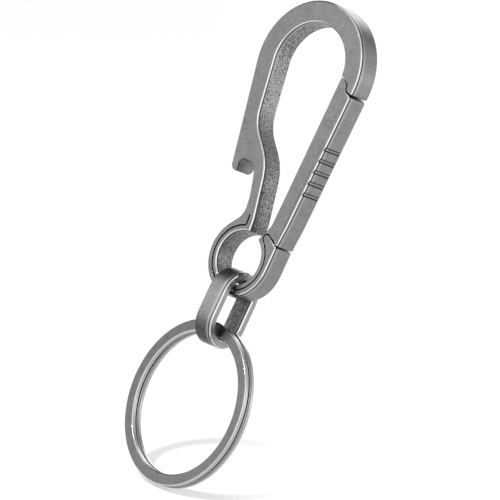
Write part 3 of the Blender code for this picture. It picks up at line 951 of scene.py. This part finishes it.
SOFT_BOXES = (
    Board("soft_box_front", azimuth=-45, height=5, distance=0.6, width=0.30, tall=0.90, power=0.5),
    Board("soft_box_left", azimuth=-131, height=10, distance=0.6, width=0.45, tall=0.5, power=0.35),
    Board("soft_box_right", azimuth=38, height=6, distance=0.2, width=0.12, tall=0.12, power=0.045),
    Board("soft_box_top", azimuth=120, height=35, distance=0.6, width=0.45, tall=0.45, power=1.0),
    Board("soft_box_key", azimuth=-100, height=32, distance=0.6, width=0.06, tall=0.06, power=2.5),
)
DARK_CARDS = (
    Board("dark_card_left", azimuth=172, height=0, distance=0.3, width=0.42, tall=1.0),
    Board("dark_card_edge", azimuth=212, height=10, distance=0.2, width=0.05, tall=0.075),
    Board("dark_card_top", azimuth=85, height=50, distance=0.3, width=0.14, tall=0.12),
)

# Greys of the cards and the floor, the floor's roughness, and the glow of the floor where it is white
CARD_GREY = 0.02
FLOOR_GREY = 0.9
FLOOR_ROUGH = 0.9
FLOOR_GLOW = 1.04


def picture_frame(right, up, ahead, place):
    """Matrix of a camera from its three directions and its place."""
    matrix = Matrix((right, up, -ahead)).transposed().to_4x4()
    matrix.translation = place
    return matrix


def white_world(scene):
    """World that is white behind the object and in its reflections, and dimmer as light."""
    world = bpy.data.worlds.new("white_world")
    scene.world = world
    shader = Shader(world)
    background = world.node_tree.nodes["Background"]
    background.inputs["Color"].default_value = (1, 1, 1, 1)
    light = scene.carabiner_studio.world_light
    shader.feed(background.inputs["Strength"], light + shader.seen() * (1 - light))


def face_target(thing, board, target):
    """Put a lamp or card where its board stands, facing the object and unseen by the camera."""
    azimuth, height = math.radians(board.azimuth), math.radians(board.height)
    level = Vector((math.cos(azimuth), math.sin(azimuth), 0)) * math.cos(height)
    arm = (level + Vector((0, 0, math.sin(height)))) * board.distance
    thing.location = target + arm
    thing.rotation_mode = "QUATERNION"
    thing.rotation_quaternion = arm.to_track_quat("Z", "Y")
    thing.visible_camera = False


def soft_box(board, target):
    """Soft box that lights the object."""
    lamp = bpy.data.lights.new(board.name, "AREA")
    lamp.shape = "RECTANGLE"
    lamp.size = board.width
    lamp.size_y = board.tall
    lamp.energy = board.power
    box = bpy.data.objects.new(board.name, lamp)
    bpy.context.scene.collection.objects.link(box)
    face_target(box, board, target)


def dark_card(board, target):
    """Dark card that only the object's metal reflects, for the dark lines in its edges."""
    deselect()
    bpy.ops.mesh.primitive_plane_add(size=1)
    card = bpy.context.object
    card.name = board.name
    card.scale = (board.width, board.tall, 1)
    face_target(card, board, target)
    material = bpy.data.materials.new(board.name)
    shader = Shader(material)
    surface = material.node_tree.nodes["Principled BSDF"]
    shader.feed(surface.inputs["Base Color"], (CARD_GREY, CARD_GREY, CARD_GREY, 1))
    shader.feed(surface.inputs["Roughness"], 1)
    card.data.materials.append(material)
    card.visible_diffuse = False
    card.visible_shadow = False


def pale_floor():
    """Floor's material: it keeps the object's shadow, looks white to the right, and is clear from below."""
    studio = bpy.context.scene.carabiner_studio
    material = bpy.data.materials.new("pale_floor")
    shader = Shader(material)
    surface = material.node_tree.nodes["Principled BSDF"]
    output = material.node_tree.nodes["Material Output"]
    shader.feed(surface.inputs["Base Color"], (FLOOR_GREY, FLOOR_GREY, FLOOR_GREY, 1))
    shader.feed(surface.inputs["Roughness"], FLOOR_ROUGH)
    place = shader.add("ShaderNodeTexCoord", output="Object")
    fade = shader.add("ShaderNodeSeparateXYZ", None, {"Vector": place}, "X").ramp(studio.fade)
    whiteness = shader.seen() * (studio.floor_white + fade * (1 - studio.floor_white))
    white = shader.add("ShaderNodeEmission", None, {"Color": (1, 1, 1, 1), "Strength": FLOOR_GLOW})
    lit = Socket(shader, surface.outputs["BSDF"])
    pale = shader.add("ShaderNodeMixShader", None, {0: whiteness, 1: lit, 2: white})
    clear = shader.add("ShaderNodeBsdfTransparent")
    from_below = shader.add("ShaderNodeNewGeometry", output="Backfacing")
    sided = shader.add("ShaderNodeMixShader", None, {0: from_below, 1: pale, 2: clear})
    shader.feed(output.inputs["Surface"], sided)
    return material


def lay_floor(right, normal):
    """Pale floor under the ring's lowest corner."""
    studio = bpy.context.scene.carabiner_studio
    deselect()
    ring = frame["nodes"]["key_ring"]
    foot = min((corner.co for corner in ring.data.vertices), key=lambda place: place.dot(normal))
    bpy.ops.mesh.primitive_plane_add(size=studio.floor, location=foot)
    floor = bpy.context.object
    floor.name = "floor"
    floor.rotation_mode = "QUATERNION"
    floor.rotation_quaternion = Matrix((right, normal.cross(right), normal)).transposed().to_quaternion()
    floor.data.materials.append(pale_floor())


class CARABINER_PT_looks(bpy.types.Panel):
    """Lists the pieces and their sizes"""

    bl_idname = "CARABINER_PT_looks"
    bl_label = "Key carabiner"
    bl_space_type = "VIEW_3D"
    bl_region_type = "UI"
    bl_category = "Carabiner"

    def draw(self, context):
        scene = context.scene
        for operator in OPERATORS:
            self.layout.operator(operator.bl_idname)
        for group in (scene.carabiner_edges, scene.carabiner_finish, scene.carabiner_studio):
            for name in group.__annotations__:
                self.layout.prop(group, name)


OPERATORS = (
    CARABINER_OT_frame,
    CARABINER_OT_spring,
    CARABINER_OT_gate,
    CARABINER_OT_link,
    CARABINER_OT_ring,
    CARABINER_OT_stage,
)
CLASSES = (EdgeSizes, TitaniumFinish, StudioSizes, *OPERATORS, CARABINER_PT_looks)


def register():
    """Register the classes and their settings on the scene."""
    for made in CLASSES:
        bpy.utils.register_class(made)
    bpy.types.Scene.carabiner_edges = PointerProperty(type=EdgeSizes)
    bpy.types.Scene.carabiner_finish = PointerProperty(type=TitaniumFinish)
    bpy.types.Scene.carabiner_studio = PointerProperty(type=StudioSizes)


def unregister():
    """Take the settings and the classes away again."""
    del bpy.types.Scene.carabiner_studio
    del bpy.types.Scene.carabiner_finish
    del bpy.types.Scene.carabiner_edges
    for made in reversed(CLASSES):
        bpy.utils.unregister_class(made)


def main():
    """Dress the object."""
    register()
    bpy.ops.carabiner.frame()
    bpy.ops.carabiner.spring()
    bpy.ops.carabiner.gate()
    bpy.ops.carabiner.link()
    bpy.ops.carabiner.ring()
    bpy.ops.carabiner.stage()


if __name__ == "__main__":
    main()
